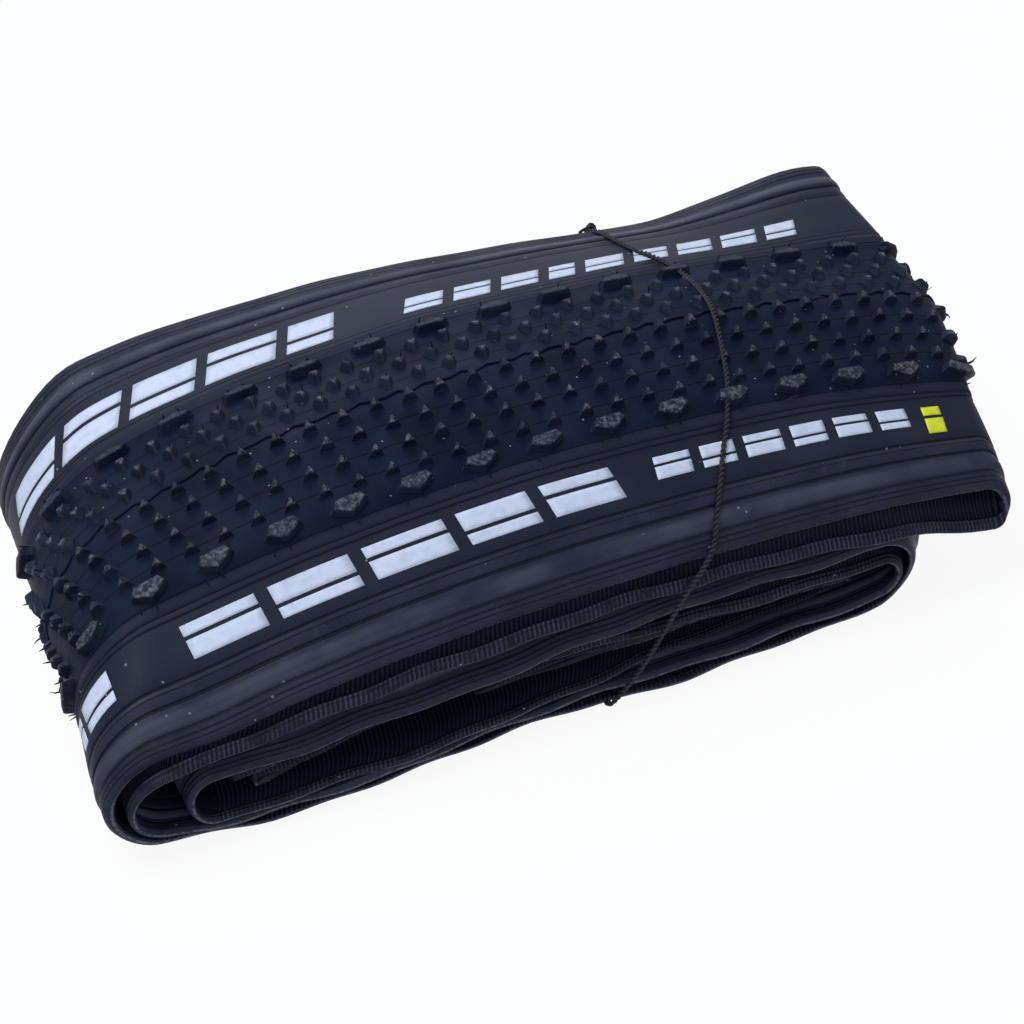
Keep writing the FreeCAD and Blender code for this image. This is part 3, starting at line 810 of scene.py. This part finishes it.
# %% Shoulder knobs
long_foot = [(-2.7, -1.15), (2.6, -1.35), (3.6, -0.3), (2.1, 0.85), (0.7, 1.65), (-1.0, 1.05),
             (-3.3, 0.25)]
long_rings = [(0.0, scaled(long_foot, 1.12)), (0.4, long_foot),
              (1.8, scaled(long_foot, 0.86, (0, -0.2))), (2.05, scaled(long_foot, 0.76, (0, -0.15)))]
NEAR_ROW, FAR_ROW, FAR_PHASE = -18.0, 18.6, 2.2
order_long = np.arange(SHOULDER_KNOBS) * PITCH
s_long = np.concatenate([NEAR_PHASE + order_long, FAR_PHASE + order_long])
v_long = np.repeat([NEAR_ROW, FAR_ROW], SHOULDER_KNOBS)
flip_long = np.where(v_long > 0, 1.0, -1.0)
# Share of scuffing and painted highlight on the top of each shoulder knob: full on the near row, about
# a third on the far one.
worn_long = np.where(v_long < 0, 1.0, 0.35) * np.clip(rng.normal(0.9, 0.2, len(v_long)), 0.3, 1.0)
knobs("knobs_shoulder", s_long + rng.normal(0, 0.12, len(v_long)), v_long, flip_long, long_rings,
      worn_long, rng.normal(1.0, 0.05, len(v_long)))

# %% [markdown]
# ## Vent hairs and the middle ridge
#
# Moulding leaves thin rubber hairs where the vents were, and a wavy ridge where the two
# halves of the mould met.

# %% Vent hairs
HAIR_LEVELS = np.array([0.0, 0.55, 1.0])             # foot, middle and tip, as shares of the length
HAIR_RADII = np.array([0.19, 0.14, 0.05])
HAIR_SIDES = 3


def hairs(name, s, v, start, length, lean_s, lean_v):
    """Thin three-sided cones. Each ring is pushed along the lean by its height times its
    share of the length, so a hair bends more towards its tip."""
    angles = np.arange(HAIR_SIDES) * 2 * PI / HAIR_SIDES
    a = HAIR_RADII[:, None] * np.cos(angles)
    o = HAIR_RADII[:, None] * np.sin(angles)
    rise = HAIR_LEVELS[None, :, None] * length[:, None, None]
    bend = rise * HAIR_LEVELS[None, :, None]
    place_s = s[:, None, None] + a + bend * lean_s[:, None, None]
    place_v = v[:, None, None] + o + bend * lean_v[:, None, None]
    points = on_tyre(place_s, place_v, start[:, None, None] + rise + 0 * a)
    parts = ring_faces(len(HAIR_LEVELS), HAIR_SIDES)
    faces = faces_of_copies(parts, a.size, np.zeros(len(s), bool))
    ones = np.ones(points.shape[:-1])
    return make_piece(name, points, faces, KNOB, "tread_rubber", smooth=False,
                      rise=0.5 * ones, worn=0 * ones, along=place_s, across=place_v, out=ones)


BESIDE, ON_TOP = 0.9, 2.55                           # height of a hair's foot over the casing
LAST_RIGHT, LAST_LEFT = 122.0, 118.0                 # the top run with its two ends, from its middle
foot_beside = v_long + flip_long * 2.6
hair_s = np.concatenate([s_long - 1.5, s_long + 1.5, s_small + 0.3])
hair_v = np.concatenate([foot_beside, foot_beside, v_small + flip_small * 0.6])
hair_start = np.repeat([BESIDE, ON_TOP], [2 * len(s_long), len(s_small)])
keep = rng.random(len(hair_s)) < np.where(hair_start == BESIDE, 0.9, 0.7)
keep &= (hair_s % FOLD < LAST_RIGHT) | (hair_s % FOLD > FOLD - LAST_LEFT)
kept = keep.sum()
hairs("vent_hairs", hair_s[keep], hair_v[keep], hair_start[keep],
      np.clip(rng.normal(1.35, 0.5, kept), 0.4, 2.6), rng.normal(0, 0.35, kept),
      rng.normal(0, 0.3, kept))

# %% Middle ridge
ridge_outline = [(0.85, 1.2), (0.95, 1.62), (1.2, 1.68), (1.4, 1.2)]
carry("mould_ridge", ridge_outline, TREAD, "tread_rubber",
      wave=lambda s: 0.55 * np.sin(2 * PI * (s - NEAR_PHASE) / SMALL_PITCH))

# %% [markdown]
# ## Printed marks
#
# The real sidewalls carry lettering. Here plain slanted blocks stand in for it: each is a
# thin film that follows the rubber, cut by one narrow slit.

# %% Printed blocks
FILM_OVER, FILM_UNDER = 0.10, -0.12                  # the film's two faces, from the rubber's surface
FILM_GRID = (5, 9)                                   # points across and along each film


def film(parts):
    """Thin closed films. Each part is four corners of (along, across); the points between
    them are the corners' weighted means, and both faces follow the rubber."""
    rows, columns = FILM_GRID
    size = rows * columns
    grid = np.arange(size).reshape(rows, columns)
    quads = np.stack([grid[:-1, :-1], grid[:-1, 1:], grid[1:, 1:], grid[1:, :-1]], -1).reshape(-1, 4)
    rim = np.concatenate([grid[0, :], grid[1:, -1], grid[-1, -2::-1], grid[-2:0:-1, 0]])
    nxt = np.roll(rim, -1)
    wall = np.stack([rim, rim + size, nxt + size, nxt], -1)
    solid = np.concatenate([quads, quads[:, ::-1] + size, wall])
    t = np.linspace(0, 1, columns)[None, :, None]
    u = np.linspace(0, 1, rows)[:, None, None]
    points, faces = [], []
    for number, corners in enumerate(parts):
        a, b, c, e = np.array(corners, float)
        flat = (a * (1 - t) + b * t) * (1 - u) + (e * (1 - t) + c * t) * u
        along, across_tyre = flat[..., 0], flat[..., 1]
        for lift in (FILM_OVER, FILM_UNDER):
            points.append(on_tyre(along, across_tyre, skin(across_tyre) + lift).reshape(-1, 3))
        outwards = (b - a)[0] * (e - a)[1] - (b - a)[1] * (e - a)[0] > 0
        faces.append((solid if outwards else solid[:, ::-1]) + 2 * size * number)
    return np.concatenate(points), np.concatenate(faces)


def blocks(start, widths, space, top, bottom, slant, slit=0.12, split=0.62):
    """Slanted blocks side by side, each cut by one slit along the tyre. Shares go from the
    top edge (0) to the bottom edge (1); the slit changes sides from block to block."""
    parts, left = [], start
    for number, width in enumerate(widths):
        share = split if number % 2 else 1 - split
        for low, high in ((0.0, share - slit / 2), (share + slit / 2, 1.0)):
            v_low, v_high = top + (bottom - top) * low, top + (bottom - top) * high
            lean_low, lean_high = slant * (1 - low), slant * (1 - high)
            parts.append([(left + lean_low, v_low), (left + width + lean_low, v_low),
                          (left + width + lean_high, v_high), (left + lean_high, v_high)])
        left += width + space
    return parts


# Each mark: its start along the tyre, the blocks' widths, the space between them, its top
# and bottom edges across the tyre, its slant, its ink, and the CAD piece it stands for.
PALE_INK, YELLOW_INK = (PALE, "label_pale"), (YELLOW, "label_yellow")
MARKS = {
    "label_blocks_near_main": (-65.2, [13.6, 14.4, 14.6, 13.0, 13.2], 2.5, -25.7, -33.0, -3.0,
                               PALE_INK, "label_near_main"),
    "label_blocks_near_second": (19.8, [7.0, 6.6, 7.4, 6.8, 7.0, 6.2], 2.1, -26.2, -31.2, -0.6,
                                 PALE_INK, "label_near_second"),
    "size_block_near": (74.8, [4.0], 1.0, -26.4, -33.6, -0.4, YELLOW_INK, "size_mark_near"),
    "label_blocks_far_main": (-92.0, [12.5, 11.5, 12.6, 13.4, 9.0], 2.2, 24.8, 33.0, -2.8,
                              PALE_INK, "label_far_main"),
    "label_blocks_far_second": (-11.0, [7.6, 7.4, 7.6, 5.4, 8.0, 7.2, 7.4, 7.6, 6.6], 2.2, 25.4,
                                30.2, -2.0, PALE_INK, "label_far_second"),
    "label_blocks_near_turn": (-96.6, [2.8, 9.8], 1.9, -25.6, -33.0, -2.2, PALE_INK, None),
}
for name, (*layout, ink, node) in MARKS.items():
    make_piece(name, *film(blocks(*layout)), *ink, [node] if node else [])

# %% [markdown]
# ## The tie cord
#
# One loop of two-strand thread holds the bundle. Its points are read from a smooth NURBS
# line, and two strands are twisted round that line as one mesh.

# %% The cord's line
# Over the tyre: (along, across, out). Below it: points in the bundle's own space.
over_top = [(34.0, 45.9, 0.4), (34.4, 43.4, 1.2), (34.7, 38.0, 1.2), (36.0, 30.0, 1.15),
            (38.4, 23.0, 1.6), (40.2, 16.0, 2.3), (39.8, 8.0, 2.5), (38.4, 0.0, 2.7),
            (37.2, -8.0, 2.6), (36.2, -15.0, 2.5), (34.9, -20.0, 2.0), (33.9, -24.0, 1.5),
            (32.6, -29.0, 1.2), (31.2, -35.0, 1.2), (29.6, -40.0, 1.4), (28.4, -44.2, 1.4)]
top_part = on_tyre(*np.array(over_top).T)
low_part = np.array([(14.8, -39.9, 25.6), (12.2, -40.5, 23.9), (7.3, -40.6, 15.7), (2.8, -40.4, 8.2),
                     (-1.2, -39.8, 3.0), (-2.6, -39.0, 1.1), (-1.8, -36.0, 0.55), (4.0, -22.0, 0.55),
                     (10.0, 0.0, 0.55), (17.0, 25.0, 0.55), (21.0, 42.0, 0.8), (24.5, 46.6, 3.2),
                     (30.5, 46.8, 19.0), (36.4, 46.0, 34.6), (37.8, 45.2, 38.2)])
route = np.concatenate([top_part, low_part])


def smooth_line(points, name):
    """Points of a NURBS spline of order 3 through the route's control points."""
    curve = bpy.data.curves.new(name, "CURVE")
    curve.dimensions = "3D"
    spline = curve.splines.new("NURBS")
    spline.points.add(len(points) - 1)
    spline.points.foreach_set("co", np.c_[points, np.ones(len(points))].ravel())
    spline.order_u = 3
    spline.use_endpoint_u = True
    spline.resolution_u = 24
    holder = bpy.data.objects.new(name, curve)
    mesh = bpy.data.meshes.new_from_object(holder)
    line = np.empty(len(mesh.vertices) * 3)
    mesh.vertices.foreach_get("co", line)
    bpy.data.objects.remove(holder)
    bpy.data.meshes.remove(mesh)
    return line.reshape(-1, 3)


CORD_STEP = 0.28
line = smooth_line(route, "cord_line")
reach = np.concatenate([[0], np.cumsum(np.linalg.norm(np.diff(line, axis=0), axis=1))])
even = np.arange(0, reach[-1], CORD_STEP)
line = np.stack([np.interp(even, reach, line[:, k]) for k in range(3)], -1)
print("tie cord", round(reach[-1], 1), "mm,", len(line), "points")


# %% Two twisted strands
STRAND_OFFSET, STRAND_RADIUS, TWIST = 0.26, 0.29, 2.1


def sideways(line):
    """Two directions square to the line at every point, by cross products with one fixed
    direction that the line never takes."""
    forward = np.gradient(line, axis=0)
    forward /= np.linalg.norm(forward, axis=1, keepdims=True)
    side = np.cross(forward, np.array([0.31, 0.17, 0.93]))
    side /= np.linalg.norm(side, axis=1, keepdims=True)
    return side, np.cross(forward, side)


def tube(centre, side, other, radius, sides):
    """Points and faces of a tube: circles in the two directions, closed at both ends."""
    ring = 2 * PI * np.arange(sides) / sides
    points = (centre[:, None] + radius * (np.cos(ring)[None, :, None] * side[:, None]
                                          + np.sin(ring)[None, :, None] * other[:, None]))
    grid = np.arange(len(centre) * sides).reshape(len(centre), sides)
    nxt = np.roll(grid, -1, axis=1)
    quads = np.stack([grid[:-1], nxt[:-1], nxt[1:], grid[1:]], -1).reshape(-1, 4)
    return points.reshape(-1, 3), [quads, np.stack([grid[0][::-1], grid[-1]])]


def strand(line, along, phase):
    """A tube round the line moved off it, going once round it every TWIST millimetres."""
    side, other = sideways(line)
    angle = phase + 2 * PI * along / TWIST
    turning = np.cos(angle)[:, None] * side + np.sin(angle)[:, None] * other
    return tube(line + STRAND_OFFSET * turning, side, other, STRAND_RADIUS, 6)


def joined(tubes):
    """Several tubes as one set of points and faces."""
    faces, total = [], 0
    for points, groups in tubes:
        faces += [face for group in groups for face in (group + total).tolist()]
        total += len(points)
    return np.concatenate([points for points, groups in tubes]), faces


strands = [strand(line, even, phase) for phase in (0, PI)]
make_piece("tie_cord_twist", *joined(strands), CORD, "cord_fibre", ["tie_cord"])


# %% The knot
# A ball of thread: circles whose plane turns slowly, so that they cross.
KNOT_LOOPS = 3.5
knot_centre = np.array([37.6, 44.2, 39.6])
t = np.linspace(0, 2 * PI * KNOT_LOOPS, 220)
tilt = t / KNOT_LOOPS * 0.5
wound = knot_centre + np.stack([0.9 * np.cos(t), 0.62 * np.sin(t) * np.cos(tilt),
                                0.6 * np.sin(t) * np.sin(tilt) + 0.35 * np.cos(1.7 * t)], -1)
tail_route = knot_centre + np.array([(-0.4, 0.2, 0.3), (-1.4, 0.0, 0.4), (-2.6, -0.6, 0.3)])
tail = smooth_line(tail_route, "tail_line")
knot_tubes = [tube(wound, *sideways(wound), 0.34, 7), tube(tail, *sideways(tail), 0.3, 7)]
make_piece("tie_knot_wound", *joined(knot_tubes), CORD, "cord_fibre", ["tie_knot"])

# %% [markdown]
# ## Floor, light and camera
#
# The floor and the world are pale and plain. Large soft lights stand behind, above and in
# front, so that the rubber shows its shape by soft reflections.

# %% Floor and world
FLOOR_HEIGHT = -0.0004


def seen_directly(wiring):
    """One for camera, glossy and transmission rays, zero for the rays that light things."""
    path = wiring.node("ShaderNodeLightPath").outputs
    sharp = wiring.math("MAXIMUM", path["Is Camera Ray"], path["Is Glossy Ray"])
    return wiring.math("MAXIMUM", sharp, path["Is Transmission Ray"])


def mixed_end(wiring, share, first, second, end):
    """The tree's end shows the first shader, and the second by that share."""
    mixer = wiring.node("ShaderNodeMixShader", {0: share, 1: first, 2: second})
    wiring.tree.links.new(mixer.outputs[0], wiring.tree.nodes[end].inputs["Surface"])


paper = Finish("pale_floor", 0.9, 0.1)
paper.shader.inputs["Base Color"].default_value = (0.86, 0.86, 0.87, 1)
glow = paper.node("ShaderNodeEmission", {"Strength": 1.0}).outputs[0]
share = paper.math("MULTIPLY", seen_directly(paper), 0.92)
mixed_end(paper, share, paper.shader.outputs[0], glow, "Material Output")
floor_mesh = bpy.data.meshes.new("floor_sheet")
corners = [(x, y, FLOOR_HEIGHT) for x, y in ((-3, -3), (3, -3), (3, 3), (-3, 3))]
floor_mesh.from_pydata(corners, [], [(0, 1, 2, 3)])
floor_mesh.materials.append(paper.material)
floor = bpy.data.objects.new("floor_sheet", floor_mesh)
bpy.context.scene.collection.objects.link(floor)

world = bpy.data.worlds.new("studio")
bpy.context.scene.world = world
world.use_nodes = True
sky = Wiring(world.node_tree)
soft = sky.tree.nodes["Background"]
soft.inputs["Color"].default_value = (0.72, 0.83, 1.0, 1)
soft.inputs["Strength"].default_value = 0.18
seen = sky.node("ShaderNodeBackground", {"Color": (1, 1, 1, 1)}).outputs[0]
mixed_end(sky, seen_directly(sky), soft.outputs[0], seen, "World Output")
print("floor and world ready")


# %% Lights and camera
BUNDLE = Vector((0, 0, 0.02))


def soft_light(name, place, width, height, power, colour):
    """A rectangular area light at place, facing the bundle."""
    lamp = bpy.data.lights.new(name, "AREA")
    lamp.shape, lamp.size, lamp.size_y = "RECTANGLE", width, height
    lamp.energy, lamp.color = power, colour
    holder = bpy.data.objects.new(name, lamp)
    holder.location = place
    holder.rotation_mode = "QUATERNION"
    holder.rotation_quaternion = (holder.location - BUNDLE).to_track_quat("Z", "Y")
    bpy.context.scene.collection.objects.link(holder)


soft_light("light_back", (0.15, 0.75, 0.75), 0.9, 0.5, 4.4, (0.86, 0.93, 1.0))
soft_light("light_top", (-0.35, 0.0, 0.9), 0.5, 0.5, 7.0, (0.90, 0.95, 1.0))
soft_light("light_front", (-0.3, -0.9, 0.5), 0.6, 0.4, 2.4, (0.90, 0.95, 1.0))

AZIMUTH, ELEVATION, AWAY = math.radians(-27), math.radians(38), 0.550
LENS, SENSOR = 111.796875, 36                        # millimetres
RIGHTWARDS, DOWNWARDS = 0.00311, 0.02439             # the aim's shift in the picture, in metres
flat = math.cos(ELEVATION)
back = np.array([math.sin(AZIMUTH) * flat, -math.cos(AZIMUTH) * flat, math.sin(ELEVATION)])
right = np.array([math.cos(AZIMUTH), math.sin(AZIMUTH), 0.0])
up = np.cross(back, right)
aim = np.array([-0.005, Y_SHIFT * MM, 0.0485]) + right * RIGHTWARDS - up * DOWNWARDS
camera_data = bpy.data.cameras.new("camera")
camera_data.sensor_width = SENSOR
camera_data.lens = LENS
camera_data.clip_start, camera_data.clip_end = 0.01, 20
camera = bpy.data.objects.new("camera", camera_data)
camera.location = aim + back * AWAY
camera.rotation_mode = "QUATERNION"
camera.rotation_quaternion = Vector(back).to_track_quat("Z", "Y")
bpy.context.scene.collection.objects.link(camera)
bpy.context.scene.camera = camera
bpy.context.scene.view_settings.view_transform = "Standard"
print("lights", len(bpy.data.lights), "camera", round(AWAY, 3), "m away")
